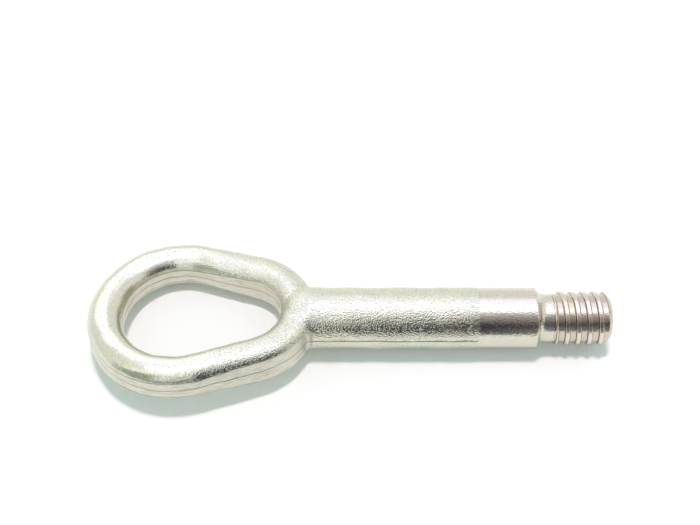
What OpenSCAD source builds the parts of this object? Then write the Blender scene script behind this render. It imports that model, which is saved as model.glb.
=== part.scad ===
// Tow eye: a drop forging with a pear-shaped eye on a round shank.
// The free end is turned to a plain band, a neck and a coarse right-hand thread.
// It lies on its side as it comes to rest: on the shank and on one side of the eye.
// The shank's axis runs along X, and the eye is towards -X. All sizes are in millimetres.

/* [Eye] */
// Radius of the eye's sides, to the middle of the bar
eye_side_r = 25.6; // [21.3:0.1:30.8]
// Angle between each arm and the shank's axis, in degrees
arm_angle = 17.7; // [14:0.1:22]
// Length of the straight part of each arm
arm_length = 21.6; // [18:0.2:26]
// Radius of the eye's inner end by the shank, to the middle of the bar
crotch_r = 20.7; // [17.2:0.1:25]
// Thickness of the oval bar at the sides and the far end of the eye
bar_height = 15.3; // [12.7:0.1:18.4]
// Thickness of the bar at the inner end and where the arms start
root_bar_height = 16.4; // [15:0.1:19.7]
// Width of the oval bar at the sides and the far end, before the flash was trimmed off
bar_width = 13; // [12.5:0.1:15.6]
// Width of the oval bar at the inner end and where the arms start
root_bar_width = 13.9; // [12:0.1:16.7]
// Width of the bar at the sides and the far end, across its trimmed faces
trim_width = 12.2; // [10.1:0.1:12.6]
// Width of the bar at the inner end and where the arms start, across its trimmed faces
root_trim_width = 11.6; // [9.6:0.1:13]
// Radius of the hollow corner between the eye's edge and the shank
hollow_r = 1.6; // [1.2:0.1:3]
// Reach of the soft corner where the shank's rounded end sinks into the bar
blend = 3.2; // [1.5:0.1:4]

/* [Shank] */
// Diameter of the forged shank
shank_d = 22.2; // [20.2:0.1:24.4]
// Length of the forged shank, from the eye's inner end to the turned band
shank_length = 70.2; // [56:0.1:90]
// Height of the ridge that the forging dies leave along both sides of the shank
ridge_height = 0.15; // [0.05:0.05:0.4]
// Width of that ridge
ridge_width = 0.6; // [0.3:0.1:1.2]

/* [Turned end] */
// Diameter of the turned band
band_d = 22; // [18.3:0.1:22]
// Length of the turned band
band_length = 21.2; // [17:0.1:26]
// Length of the taper where the tool ran out into the forged shank
band_lead = 0.7; // [0.6:0.1:1.5]
// Bevel on the band's outer edge
band_bevel = 0.3; // [0.1:0.1:0.6]
// Radius of the hollow between the band and the neck
shoulder_r = 4.2; // [3.5:0.1:6]
// Diameter of the neck
neck_d = 17.5; // [14.6:0.1:17.5]
// Length from the band to the first thread
neck_length = 5.4; // [4.6:0.1:8]

/* [Thread] */
// Outer diameter of the thread
thread_d = 19.3; // [18.6:0.1:21]
// Diameter at the bottom of the groove
thread_root_d = 17.6; // [17.6:0.1:18]
// Distance from one turn to the next
thread_pitch = 4; // [3.4:0.1:4.8]
// Length of the threaded end
thread_length = 21; // [17:0.5:25]
// Width of the flat on top of each turn
crest_width = 1.2; // [0.8:0.1:1.4]
// Slope of the groove's sides from square, in degrees
flank_angle = 30; // [15:1:32]
// Bevel where the thread starts at the neck
start_bevel = 0.6; // [0.3:0.1:0.8]
// Bevel on the free end
end_bevel = 2; // [1.2:0.1:2.6]

/* [Hidden] */
$fn = 96;

// Half the arc that closes the far end of the eye, in degrees
end_half_angle = 45;
// Rays over a quarter of the shank, along its side and round the hollow corner
quarter_steps = 18;
flank_steps = 2;
hollow_steps = 5;
// Rays along the rest of half of the inner end, an arm, a side and half of the far end
crotch_steps = 6;
arm_steps = 6;
side_steps = 10;
end_steps = 7;
// Steps over the top of one section
section_steps = 18;
// Facets to each turn of the groove, and how far it runs past the crests
groove_steps = 30;
groove_overcut = 0.6;
// Angle of the groove round the shank one turn before the first thread, in degrees
thread_phase = 250;

shank_r = shank_d / 2;
band_r = band_d / 2;
neck_r = neck_d / 2;
thread_r = thread_d / 2;
thread_root_r = thread_root_d / 2;

// Places along the shank's axis, measured from the eye's inner end
band_x = shank_length;
shoulder_x = band_x + band_length;
thread_x = shoulder_x + neck_length;
end_x = thread_x + thread_length;

// Length of the hollow, from the rule for a chord of its circle
shoulder_drop = band_r - band_bevel - neck_r;
hollow_length = sqrt(pow(shoulder_r, 2) - pow(shoulder_r - shoulder_drop, 2));

// The middle line of the eye: inner end arc, straight arm, side arc and far end arc
crotch_centre = [root_trim_width / 2 - crotch_r, 0];
arm_across = [sin(arm_angle), cos(arm_angle)];
arm_along = [-cos(arm_angle), sin(arm_angle)];
arm_start = crotch_centre + crotch_r * arm_across;
arm_end = arm_start + arm_length * arm_along;
side_centre = arm_end - eye_side_r * arm_across;
end_r = eye_side_r + side_centre[1] / sin(end_half_angle);
end_centre = [side_centre[0] + (end_r - eye_side_r) * cos(end_half_angle), 0];
eye_x = end_centre[0] - end_r - trim_width / 2;
widest_y = side_centre[1] + eye_side_r;

// The eye and the first of the shank are one loft, which ends inside the turned shank
loft_inset = 0.03;
loft_overlap = 2.5;
loft_r = shank_r - loft_inset;
edge_half = ridge_width / 2 + 0.05;
side_angle = acos(edge_half / loft_r);
side_y = loft_r * sin(side_angle);
outer_r = crotch_r + root_trim_width / 2;
inner_r = crotch_r - root_trim_width / 2;
hollow_reach = sqrt(pow(outer_r + hollow_r, 2) - pow(side_y + hollow_r, 2));
hollow_centre = [crotch_centre[0] + hollow_reach, side_y + hollow_r];
joint_angle = atan2(hollow_centre[1], hollow_centre[0] - crotch_centre[0]);
bar_end_x = crotch_centre[0] + crotch_r + root_bar_width / 2;
shank_x = max(hollow_centre[0], bar_end_x) + 1;
cut_x = shank_x + loft_overlap;

// The ball that ends the shank stops just short of the hole
nose_gap = 0.4;
nose_x = shank_r + nose_gap;

// The shank rolls until the oval bar at one side of the eye touches the ground
bar_h = bar_height / 2;
bar_w = bar_width / 2;
roll_a = pow(widest_y, 2) + pow(bar_h, 2) - pow(bar_w, 2);
roll_b = shank_r * widest_y;
roll_c = pow(shank_r, 2) - pow(bar_h, 2);
lean_at_side = asin((roll_b - sqrt(pow(roll_b, 2) - roll_a * roll_c)) / roll_a);
lean_at_arm = asin((shank_r - root_bar_height / 2) / arm_start[1]);
lean = min(lean_at_side, lean_at_arm);

function mix(a, b, t) = a + (b - a) * t;
function smooth(t) = t * t * (3 - 2 * t);
function heading(a) = [cos(a), sin(a)];
function flip(v) = [v[0], -v[1]];

// A ray crosses the bar in plan: [inner end, outer end, bar height, bar width, in the fan]
function across(place, out, trim, height, width) =
  [place - trim / 2 * out, place + trim / 2 * out, height, width, false];

// Outer ends of the fan: over a quarter of the shank, along its side, round the hollow
quarter_ends = [
  for (i = [0:quarter_steps])
    [cut_x, loft_r * sin(side_angle * i / quarter_steps)]
];
flank_ends = [
  for (i = [1:flank_steps])
    [mix(cut_x, hollow_centre[0], i / (flank_steps + 1)), side_y]
];
hollow_ends = [
  for (i = [0:hollow_steps - 1])
    hollow_centre + hollow_r * heading(mix(-90, joint_angle - 180, i / hollow_steps))
];
fan_ends = concat(quarter_ends, flank_ends, hollow_ends);

fan_rays = [
  for (i = [0:len(fan_ends) - 1])
    let (out = heading(joint_angle * i / len(fan_ends)))
    [crotch_centre + inner_r * out, fan_ends[i], root_bar_height, root_bar_width, true]
];
crotch_rays = [
  for (i = [0:crotch_steps])
    let (out = heading(mix(joint_angle, 90 - arm_angle, i / crotch_steps)))
    across(crotch_centre + crotch_r * out, out, root_trim_width, root_bar_height, root_bar_width)
];
arm_rays = [
  for (i = [1:arm_steps])
    let (t = i / arm_steps)
    across(mix(arm_start, arm_end, t), arm_across, mix(root_trim_width, trim_width, t),
      mix(root_bar_height, bar_height, t), mix(root_bar_width, bar_width, t))
];
function bend_rays(centre, r, a0, a1, steps) = [
  for (i = [1:steps])
    let (out = heading(mix(a0, a1, i / steps)))
    across(centre + r * out, out, trim_width, bar_height, bar_width)
];
side_turn = 180 - end_half_angle;
upper_half = concat(
  fan_rays,
  crotch_rays,
  arm_rays,
  bend_rays(side_centre, eye_side_r, 90 - arm_angle, side_turn, side_steps),
  bend_rays(end_centre, end_r, side_turn, 180, end_steps)
);
lower_half = [
  for (i = [len(upper_half) - 2:-1:1])
    let (s = upper_half[i])
    [flip(s[0]), flip(s[1]), s[2], s[3], s[4]]
];
rays = concat(upper_half, lower_half);

// The larger of two heights, with a hollow in the corner between them
function soft_max(a, b) =
  let (reach = max(blend * smooth(min(min(a, b) / blend, 1)), 0.001))
  max(a, b) + pow(max(reach - abs(a - b), 0), 2) / (4 * reach);

// Height of the forging above the parting plane: the oval bar and the shank's round end
function forging_height(p, off, s) =
  let (bar = s[2] / 2 * sqrt(max(1 - pow(2 * off / s[3], 2), 0)))
  let (ball = pow(max(nose_x - p[0], 0), 2))
  let (shank = sqrt(max(pow(loft_r, 2) - pow(p[1], 2) - ball, 0)))
  max(soft_max(bar, shank), edge_half);

// One section: over the top from the outer edge to the hole, and back below it
function section(s) =
  let (half = s[4] ? root_trim_width / 2 : norm(s[1] - s[0]) / 2)
  let (edge = acos(2 * half / s[3]))
  let (over = [
    for (i = [0:section_steps])
      let (angle = mix(edge, 180 - edge, i / section_steps))
      let (t = cos(angle) / cos(edge))
      let (p = mix(s[0], s[1], (1 + t) / 2))
      let (off = s[4] ? norm(p - crotch_centre) - crotch_r : t * half)
      [p[0], p[1], forging_height(p, off, s)]
  ])
  let (under = [for (i = [section_steps:-1:0]) [over[i][0], over[i][1], -over[i][2]]])
  concat(over, under);

// The eye and the start of the shank: the sections carried round the hole
module eye() {
  loops = len(rays);
  sides = 2 * (section_steps + 1);
  points = [for (s = rays, p = section(s)) p];
  // Each four-sided patch is halved along the hollow corner, on all four mirrored quarters
  walls = [
    for (i = [0:loops - 1], j = [0:sides - 1])
      let (a = i * sides + j, b = i * sides + (j + 1) % sides)
      let (c = (i + 1) % loops * sides + j, e = (i + 1) % loops * sides + (j + 1) % sides)
      let (far_side = i < len(upper_half) - 1, top = j <= section_steps)
      each far_side == top ? [[a, b, c], [b, e, c]] : [[a, b, e], [a, e, c]]
  ];
  polyhedron(points, walls, convexity = 10);
}

// Half outline of the shank and its turned end: radius to the right, length upwards
module shank_outline() {
  difference() {
    polygon([
      [0, shank_x],
      [shank_r, shank_x],
      [shank_r, band_x - band_lead],
      [band_r, band_x],
      [band_r, shoulder_x - band_bevel],
      [band_r - band_bevel, shoulder_x],
      [band_r - band_bevel, shoulder_x + hollow_length],
      [neck_r, shoulder_x + hollow_length],
      [neck_r, thread_x],
      [thread_r - start_bevel, thread_x],
      [thread_r, thread_x + start_bevel],
      [thread_r, end_x - end_bevel],
      [thread_r - end_bevel, end_x],
      [0, end_x]
    ]);
    translate([neck_r + shoulder_r, shoulder_x + hollow_length])
      circle(r = shoulder_r);
  }
}

// Section of the thread's groove: [distance along the axis, radius], the widest last
groove_top_r = thread_r + groove_overcut;
groove_half = (thread_pitch - crest_width) / 2;
groove_top_half = groove_half + groove_overcut * tan(flank_angle);
groove_root_half = groove_half - (thread_r - thread_root_r) * tan(flank_angle);
groove_section = [
  [-groove_root_half, thread_root_r],
  [groove_root_half, thread_root_r],
  [groove_top_half, groove_top_r],
  [-groove_top_half, groove_top_r]
];

// The groove as a closed solid: its section carried along a right-hand helix
module groove() {
  turns = (thread_length + 2 * thread_pitch) / thread_pitch;
  steps = ceil(turns * groove_steps);
  sides = len(groove_section);
  points = [
    for (i = [0:steps])
      let (angle = thread_phase + 360 * i / groove_steps)
      let (along = thread_x - thread_pitch + thread_pitch * i / groove_steps)
      for (p = groove_section)
        [along + p[0], p[1] * cos(angle), p[1] * sin(angle)]
  ];
  walls = [
    for (i = [0:steps - 1], j = [0:sides - 1])
      let (a = i * sides + j, b = i * sides + (j + 1) % sides)
      each [[a, a + sides, b], [b, a + sides, b + sides]]
  ];
  first_cap = [for (j = [0:sides - 1]) j];
  last_cap = [for (j = [sides - 1:-1:0]) steps * sides + j];
  polyhedron(points, concat(walls, [first_cap, last_cap]), convexity = 10);
}

module shank() {
  difference() {
    rotate([90, 0, 90])
      rotate_extrude()
        shank_outline();
    groove();
  }
}

// Two thin ridges where the halves of the dies met
module parting_ridges() {
  start = hollow_centre[0] + 0.5;
  translate([start, -shank_r - ridge_height, -ridge_width / 2])
    cube([band_x - band_lead - start, shank_d + 2 * ridge_height, ridge_width]);
}

module tow_eye() {
  color("silver")
    translate([-(eye_x + end_x) / 2, 0, shank_r])
      rotate([-lean, 0, 0]) {
        eye();
        shank();
        parting_ridges();
      }
}

tow_eye();
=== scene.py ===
# %% [markdown]
# # A tow eye
# A tow eye is one piece of forged steel. A bar is bent and pressed in dies
# into a pear-shaped eye on a round shank, its free end is turned and threaded,
# and the whole is plated with zinc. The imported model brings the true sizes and
# the place where the part lies. This script builds the skin that is seen: one
# closed surface with its finishes, then the table, the light and the camera.

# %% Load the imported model
import math
import bmesh
import bpy
import numpy as np
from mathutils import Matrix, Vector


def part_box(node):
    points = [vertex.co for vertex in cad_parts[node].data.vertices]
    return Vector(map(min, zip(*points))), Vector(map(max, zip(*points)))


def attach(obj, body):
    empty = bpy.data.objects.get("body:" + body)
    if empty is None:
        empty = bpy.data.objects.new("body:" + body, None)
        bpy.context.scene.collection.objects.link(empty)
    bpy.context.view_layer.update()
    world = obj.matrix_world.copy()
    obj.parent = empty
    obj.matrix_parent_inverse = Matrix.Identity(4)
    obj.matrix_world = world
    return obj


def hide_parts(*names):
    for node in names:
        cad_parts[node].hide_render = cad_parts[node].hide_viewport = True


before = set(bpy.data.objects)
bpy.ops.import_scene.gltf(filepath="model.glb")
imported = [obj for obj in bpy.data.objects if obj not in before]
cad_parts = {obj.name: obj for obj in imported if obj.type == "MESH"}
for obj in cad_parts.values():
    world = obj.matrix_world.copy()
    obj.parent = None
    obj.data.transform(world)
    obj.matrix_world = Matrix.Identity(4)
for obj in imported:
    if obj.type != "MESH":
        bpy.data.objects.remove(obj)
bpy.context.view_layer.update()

MM = 0.001
cad_low, cad_high = (np.array(corner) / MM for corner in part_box("tow_eye"))
print("packed model, low and high corner in mm:", cad_low.round(2), cad_high.round(2))

# %% [markdown]
# ## The eye's middle line
# The bar of the eye follows a pear-shaped line: a tight bend at the shank, two
# straight arms and a wide bend. Such a line could be drawn with a curve object,
# but a line that is made from its turning is easier to measure: in a bend the
# outward direction turns evenly, in a straight arm it stands still, and the
# line itself is the running sum of small steps square to that direction.
# The shank's axis is X here, with X = 0 at the wall of the hole beside it.

# %% Sizes of the eye, in millimetres
SHANK_R = 11.1
CROTCH_R = 20.7          # the bend beside the shank, at the middle of the bar
ARM_ANGLE = math.radians(17.7)
ARM_LENGTH = 21.6
SIDE_R = 25.6
END_HALF_ANGLE = math.radians(45)
# Half of the oval bar at the root of the arms, and at the sides: trimmed width, full width, height
ROOT_BAR = np.array([5.8, 6.95, 8.2])
SIDE_BAR = np.array([6.1, 6.5, 7.65])

crotch_centre = np.array([ROOT_BAR[0] - CROTCH_R, 0.0])
arm_out = np.array([math.sin(ARM_ANGLE), math.cos(ARM_ANGLE)])
arm_way = np.array([-math.cos(ARM_ANGLE), math.sin(ARM_ANGLE)])
arm_start = crotch_centre + CROTCH_R * arm_out
arm_end = arm_start + ARM_LENGTH * arm_way
side_centre = arm_end - SIDE_R * arm_out
END_R = SIDE_R + side_centre[1] / math.sin(END_HALF_ANGLE)
widest = side_centre[1] + SIDE_R
print("the eye's middle line is", round(2 * widest, 1), "mm wide")
print("its far bend has a radius of", round(END_R, 1), "mm")

# %% [markdown]
# ## A line from its turning
# Six thousand small steps are far finer than the mesh will be, so the sum is as
# good as the exact arcs, and one rule serves bends and straight arms alike. The
# bar is an oval whose flash was sheared off: it is thickest beside the shank and
# loses about a millimetre along each arm.

# %% The middle line and the bar along it
LINE_STEPS = 6000
ARM_TURN = math.pi / 2 - ARM_ANGLE
bend_lengths = [
    CROTCH_R * ARM_TURN,
    ARM_LENGTH,
    SIDE_R * (math.pi - END_HALF_ANGLE - ARM_TURN),
    END_R * END_HALF_ANGLE,
]
bend_marks = np.concatenate([[0.0], np.cumsum(bend_lengths)])
bend_turns = np.array([0, ARM_TURN, ARM_TURN, math.pi - END_HALF_ANGLE, math.pi])


def ease(t):
    """0 below 0, 1 above 1, and an even S between them: 3 t squared less 2 t cubed."""
    t = np.clip(t, 0, 1)
    return t * t * (3 - 2 * t)


def outward(turn):
    """Unit vectors at the given angles from the X axis."""
    return np.stack([np.cos(turn), np.sin(turn)], -1)


fine_along = np.linspace(0, bend_marks[-1], LINE_STEPS)
fine_turn = np.interp(fine_along, bend_marks, bend_turns)
fine_step = np.stack([-np.sin(fine_turn), np.cos(fine_turn)], -1) * fine_along[1]
fine_line = np.array([ROOT_BAR[0], 0.0]) + np.concatenate(
    [np.zeros((1, 2)), np.cumsum((fine_step[1:] + fine_step[:-1]) / 2, axis=0)]
)


def on_middle_line(along):
    """Place, outward direction and half sizes of the bar at the given lengths along the line.

    The half sizes go evenly from those of the root to those of the sides, along the arm."""
    place = np.stack([np.interp(along, fine_along, fine_line[:, k]) for k in (0, 1)], -1)
    turn = np.interp(along, bend_marks, bend_turns)
    share = np.interp(along, bend_marks[1:3], [0, 1])[..., None]
    return place, outward(turn), ROOT_BAR + (SIDE_BAR - ROOT_BAR) * share


print("half of the middle line is", round(bend_marks[-1], 1), "mm long")
print("it ends at", fine_line[-1].round(3))

# %% [markdown]
# ## Plan of the forging: rays from the hole to the edge
# A drop forging has no undercuts: seen square to the parting plane of the dies,
# every point of its plan has one height, the same above and below. So the head
# can be made as rays that run in plan from the wall of the hole to the outer
# edge. Round the eye a ray simply crosses the bar. Beside the shank the rays fan
# out: some end on the small hollow between eye and shank, and the rest end on a
# square cut across the shank, where the plain round shank takes over.

# %% Rays in plan
CUT_X = 15.0             # where the head ends and the plain shank begins
HOLLOW_R = 1.6           # the hollow corner between the eye's edge and the shank
# Rays that end on the side of the shank and on the hollow, and rays that cross the bar
SIDE_RAYS, HOLLOW_RAYS, BAR_RAYS = 5, 8, 178

edge_r = CROTCH_R + ROOT_BAR[0]
hollow_x = crotch_centre[0] + math.sqrt((edge_r + HOLLOW_R) ** 2 - (SHANK_R + HOLLOW_R) ** 2)
hollow_centre = np.array([hollow_x, SHANK_R + HOLLOW_R])
to_hollow = math.atan2(hollow_centre[1], hollow_centre[0] - crotch_centre[0])
joint_along = CROTCH_R * to_hollow

# Angles round the shank from its top to the parting line, closer together near that line
quarter = np.radians(np.concatenate([np.linspace(0, 84, 31), [86, 87.6, 88.7, 89.4, 90]]))

cut_ends = np.stack([np.full(len(quarter), CUT_X), SHANK_R * np.sin(quarter)], -1)
side_x = np.linspace(CUT_X, hollow_x, SIDE_RAYS + 2)[1:-1]
side_ends = np.stack([side_x, np.full(SIDE_RAYS, SHANK_R)], -1)
hollow_turns = np.linspace(-math.pi / 2, to_hollow - math.pi, HOLLOW_RAYS + 1)
hollow_ends = hollow_centre + HOLLOW_R * outward(hollow_turns)
fan_outer = np.concatenate([cut_ends, side_ends, hollow_ends[:-1]])
fan_along = np.linspace(0, joint_along, len(fan_outer) + 1)[:-1]
bar_along = np.linspace(joint_along, bend_marks[-1], BAR_RAYS)

ray_along = np.concatenate([fan_along, bar_along])
ray_middle, ray_out, ray_bar = on_middle_line(ray_along)
ray_inner = ray_middle - ray_bar[:, :1] * ray_out
ray_outer = ray_middle + ray_bar[:, :1] * ray_out
ray_outer[: len(fan_outer)] = fan_outer
open_rays = len(quarter)
print(len(ray_along), "rays in half the plan,", open_rays, "of them end on the shank")

# %% [markdown]
# ## Height of the forging
# The bar of the eye is an oval in section, a little squarer than an ellipse:
# its powers are above 2. The shank is a circle, whose end is a ball that sinks
# into the bar beside the hole. Where the two meet, a die has a rounded hollow,
# never a sharp line. A union of solids would leave that line, so the height is
# the larger of the two with a soft corner between them.

# %% Height over the plan
NOSE_X = 11.5            # centre of the ball that ends the shank
BLEND = 3.2              # reach of the soft corner, in height
WEB = 0.35               # half the thickness of the web in the hollow corner
WEB_FADE = 1.5           # the web thins out over this length towards the cut
ACROSS_STEPS = 241
SQUARENESS = (2.1, 2.4)  # of the inner and the outer half of the oval: 2 is a plain ellipse


def soft_max(a, b, reach):
    """The larger of a and b, plus the square of the reach less their difference, over four reaches.

    The reach shrinks to nothing where either height does, so edges stay where they are."""
    reach = reach * ease(np.minimum(a, b) / reach) + 1e-9
    return np.maximum(a, b) + np.maximum(reach - np.abs(a - b), 0) ** 2 / (4 * reach)


def forging_height(plan, off_middle, bar):
    """Height above the parting plane: a flattened oval over the bar, a circle over the shank.

    At a share of its half width, the oval is as high as its full height times the n-th root of
    1 less that share to the n, where n is its power."""
    power = np.where(off_middle < 0, *SQUARENESS)
    oval = bar[..., 2] * np.maximum(1 - np.abs(off_middle / bar[..., 1]) ** power, 0) ** (1 / power)
    into_nose = np.maximum(NOSE_X - plan[..., 0], 0)
    round_shank = np.sqrt(np.maximum(SHANK_R**2 - plan[..., 1] ** 2 - into_nose**2, 0))
    web = WEB * ease((CUT_X - plan[..., 0]) / WEB_FADE)
    return np.maximum(soft_max(oval, round_shank, BLEND), web)


across = (1 - np.cos(np.linspace(0, math.pi, ACROSS_STEPS))) / 2
plan = ray_inner[:, None] + (ray_outer - ray_inner)[:, None] * across[:, None]
fan = (np.arange(len(ray_along)) < len(fan_outer))[:, None]
from_centre = np.linalg.norm(plan - crotch_centre, axis=-1) - CROTCH_R
off_middle = np.where(fan, from_centre, (2 * across - 1) * ray_bar[:, :1])
height = forging_height(plan, off_middle, ray_bar[:, None, :])
height[: open_rays, -1] = SHANK_R * np.cos(quarter)
print("height beside the hole", height[0, 0].round(2), "and on the shank", height[0, -1].round(2))

# %% [markdown]
# ## Sections with trimmed walls
# The flash that the dies squeeze out is sheared off, which leaves a flat wall
# along the inner and outer edge. Each ray becomes half a section: up the inner
# wall, over the top, and down the outer wall. The shears leave a slightly
# rounded edge, so each section is cut into very short steps, and every point is
# averaged with its neighbours a few dozen times, which rounds only the corners.

# %% Half sections, evenly stepped
WALL_STEPS = 30
FINE_STEPS = 420
ROUNDING_PASSES = 26
SECTION_STEPS = 50
CROWDING = 0.4           # how far the points of a section are drawn to its walls


def even_steps(lines, count, crowding=0.0):
    """Points at even distances along each of a stack of broken lines.

    The distances along every line are summed, and each new point lies between the two
    old ones on either side of its share of the total. Crowding draws the new points
    towards both ends, by a sine of their share."""
    share = np.linspace(0, 1, count)
    share = share - crowding / (2 * math.pi) * np.sin(2 * math.pi * share)
    run = np.linalg.norm(np.diff(lines, axis=1), axis=-1)
    run = np.concatenate([np.zeros((len(lines), 1)), np.cumsum(run, axis=1)], axis=1)
    wanted = share * run[:, -1:]
    after = (run[:, None, :] <= wanted[:, :, None]).sum(-1).clip(1, lines.shape[1] - 1)
    row = np.arange(len(lines))[:, None]
    gap = np.maximum(run[row, after] - run[row, after - 1], 1e-12)
    part = ((wanted - run[row, after - 1]) / gap)[..., None]
    return lines[row, after - 1] * (1 - part) + lines[row, after] * part


def round_corners(lines, passes, mirrored_end):
    """Averages every point with its two neighbours. A mirrored end lies on the parting plane."""
    for _ in range(passes):
        middle = (lines[:, :-2] + 2 * lines[:, 1:-1] + lines[:, 2:]) / 4
        first = (lines[:, :1] + lines[:, 1:2] * [1, 1, 0]) / 2 * [1, 1, 0]
        last = lines[:, -1:]
        if mirrored_end:
            last = (lines[:, -1:] + lines[:, -2:-1] * [1, 1, 0]) / 2 * [1, 1, 0]
        lines = np.concatenate([first, middle, last], axis=1)
    return lines


def wall(plan_edge, top):
    """A straight wall from the parting plane up to the section's edge."""
    rise = np.linspace(0, 1, WALL_STEPS, endpoint=False)[:, None]
    foot = np.concatenate([plan_edge, np.zeros((len(top), 1))], axis=-1)[:, None]
    return foot + rise * np.array([0, 0, 1.0]) * top[:, None, None]


over = np.concatenate([plan, height[..., None]], axis=-1)
inner_wall = wall(plan[:, 0], height[:, 0])
outer_wall = wall(plan[:, -1], height[:, -1])[:, ::-1]
closing = open_rays - 1
open_part = np.concatenate([inner_wall[:closing], over[:closing]], axis=1)
closed_part = np.concatenate([inner_wall[closing:], over[closing:], outer_wall[closing:]], axis=1)
open_part = round_corners(even_steps(open_part, FINE_STEPS), ROUNDING_PASSES, False)
closed_part = round_corners(even_steps(closed_part, FINE_STEPS), ROUNDING_PASSES, True)
sections = np.concatenate([
    even_steps(open_part, SECTION_STEPS, CROWDING),
    even_steps(closed_part, SECTION_STEPS, CROWDING),
])
sections[closing, -1] = (CUT_X, SHANK_R, 0)
print("head:", sections.shape[0], "half sections of", sections.shape[1], "points")

# %% [markdown]
# ## From grids to one mesh
# A grid of points becomes a sheet of four-sided faces. The head is used four
# times: as it is, mirrored across the shank, mirrored below the parting plane,
# and both. The grids share their edge points exactly, so the sheets become one
# closed skin once doubled points are merged.

# %% Collect the sheets
sheets = []


def add_sheet(grid, finish):
    """Keeps a grid of points, rows by columns, with the number of its finish."""
    sheets.append((grid, finish))


FORGED, TURNED, THREADED = 0, 1, 2
for side in (1, -1):
    for face in (1, -1):
        add_sheet(sections * [1, side, face], FORGED)
print(len(sheets), "sheets for the head")

# %% [markdown]
# ## The shank and the turned end
# The shank is a surface of revolution: a profile of places along the axis and
# radii, carried round the axis. The lathe left a plain band, a concave
# shoulder and a neck. The angles round the axis are those of the head's cut, so
# that the two meet point to point.

# %% Profile of the shank, band and neck
BAND_X, BAND_R, BAND_LEAD, BAND_LENGTH, BAND_BEVEL = 70.2, 11.0, 0.7, 21.2, 0.3
SHOULDER_R, NECK_R, NECK_LENGTH = 4.2, 8.75, 5.4
SHANK_RINGS, BAND_RINGS, BEVEL_RINGS, SHOULDER_RINGS = 100, 22, 3, 13
NECK_RING = 0.9          # from the end of the shoulder to the one ring on the neck
shoulder_x = BAND_X + BAND_LENGTH
thread_x = shoulder_x + NECK_LENGTH
drop = BAND_R - BAND_BEVEL - NECK_R
hollow_length = math.sqrt(SHOULDER_R**2 - (SHOULDER_R - drop) ** 2)

around = np.concatenate([quarter, (math.pi - quarter[::-1])[1:]])
around = np.concatenate([around, (around + math.pi)[1:]])


def revolved(along, radius):
    """Carries a profile round the X axis: Y is radius times sine, Z is radius times cosine."""
    along, radius, angle = np.broadcast_arrays(along[:, None], radius[:, None], around)
    return np.stack([along, radius * np.sin(angle), radius * np.cos(angle)], -1)


def line_between(start, end, count):
    """Evenly spaced profile points from one corner to the next, without the last."""
    return np.linspace(start, end, count, endpoint=False)


sweep = np.linspace(math.acos((SHOULDER_R - drop) / SHOULDER_R), 0, SHOULDER_RINGS)
hollow = np.stack([
    shoulder_x + hollow_length - SHOULDER_R * np.sin(sweep),
    NECK_R + SHOULDER_R - SHOULDER_R * np.cos(sweep),
], -1)
lead_x, bevel_x = BAND_X - BAND_LEAD, shoulder_x - BAND_BEVEL
forged_profile = np.concatenate([
    line_between((CUT_X, SHANK_R), (lead_x, SHANK_R), SHANK_RINGS),
    [[lead_x, SHANK_R], [lead_x + BAND_LEAD / 2, (SHANK_R + BAND_R) / 2], [BAND_X, BAND_R]],
])
turned_profile = np.concatenate([
    line_between((BAND_X, BAND_R), (bevel_x, BAND_R), BAND_RINGS),
    line_between((bevel_x, BAND_R), (shoulder_x, BAND_R - BAND_BEVEL), BEVEL_RINGS),
    hollow,
    [[shoulder_x + hollow_length + NECK_RING, NECK_R], [thread_x, NECK_R]],
])
add_sheet(revolved(*forged_profile.T), FORGED)
add_sheet(revolved(*turned_profile.T), TURNED)
print("shoulder at", round(shoulder_x, 2), "mm, thread from", round(thread_x, 2), "mm")

# %% [markdown]
# ## The thread
# A thread is a groove that climbs by its pitch in every turn. On a straight grid
# its sharp edges would run slantwise through the faces and look chipped, so this
# grid follows the helix: its lines advance with the angle, by the pitch in a
# whole turn, and each one stays on the same spot of the thread's section. At
# both ends the lines are pinned to the end faces, and what is pinned there
# collapses when doubled points are merged.

# %% A helical grid
THREAD_R, THREAD_ROOT_R, PITCH, THREAD_LENGTH = 9.65, 8.8, 4.0, 21.0
CREST_WIDTH, FLANK_ANGLE = 1.2, math.radians(30)
START_BEVEL, END_BEVEL = 0.6, 2.0
RUN_IN = 1.2             # length of the neck over which the first turn is left out
THREAD_PHASE = math.radians(250)
EDGE_SOFTNESS = 0.12
CAP_EDGE, CAP_RINGS = 0.15, 8    # a ring close inside the end face's edge, and the rings from there
end_x = thread_x + THREAD_LENGTH

flank = (THREAD_R - THREAD_ROOT_R) * math.tan(FLANK_ANGLE)
groove_half = (PITCH - CREST_WIDTH) / 2
corners = np.array([0, groove_half - flank, groove_half])
spots = np.concatenate([
    corners[1] * np.array([0, 0.4, 0.75, 0.92]),
    corners[1] + flank * np.array([0, 0.15, 0.5, 0.85]),
    corners[2] + CREST_WIDTH / 2 * np.array([0, 0.12, 0.5]),
])
spots = np.concatenate([spots, [PITCH / 2], PITCH - spots[:0:-1]])


def thread_radius(from_groove):
    """Radius at a distance from the groove's middle: root, slope and crest, with softened corners."""
    off = np.abs((from_groove + PITCH / 2) % PITCH - PITCH / 2)
    rise = (off - corners[1]) / math.tan(FLANK_ANGLE)
    soft = EDGE_SOFTNESS
    climbed = np.maximum(rise, 0) + np.maximum(soft - np.abs(rise), 0) ** 2 / (4 * soft)
    over_top = climbed - (THREAD_R - THREAD_ROOT_R)
    cut_off = np.maximum(over_top, 0) + np.maximum(soft - np.abs(over_top), 0) ** 2 / (4 * soft)
    return THREAD_ROOT_R + climbed - cut_off


turns = np.arange(-2, int(THREAD_LENGTH / PITCH) + 3)
lines = (turns[:, None] * PITCH + spots).ravel()
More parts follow.
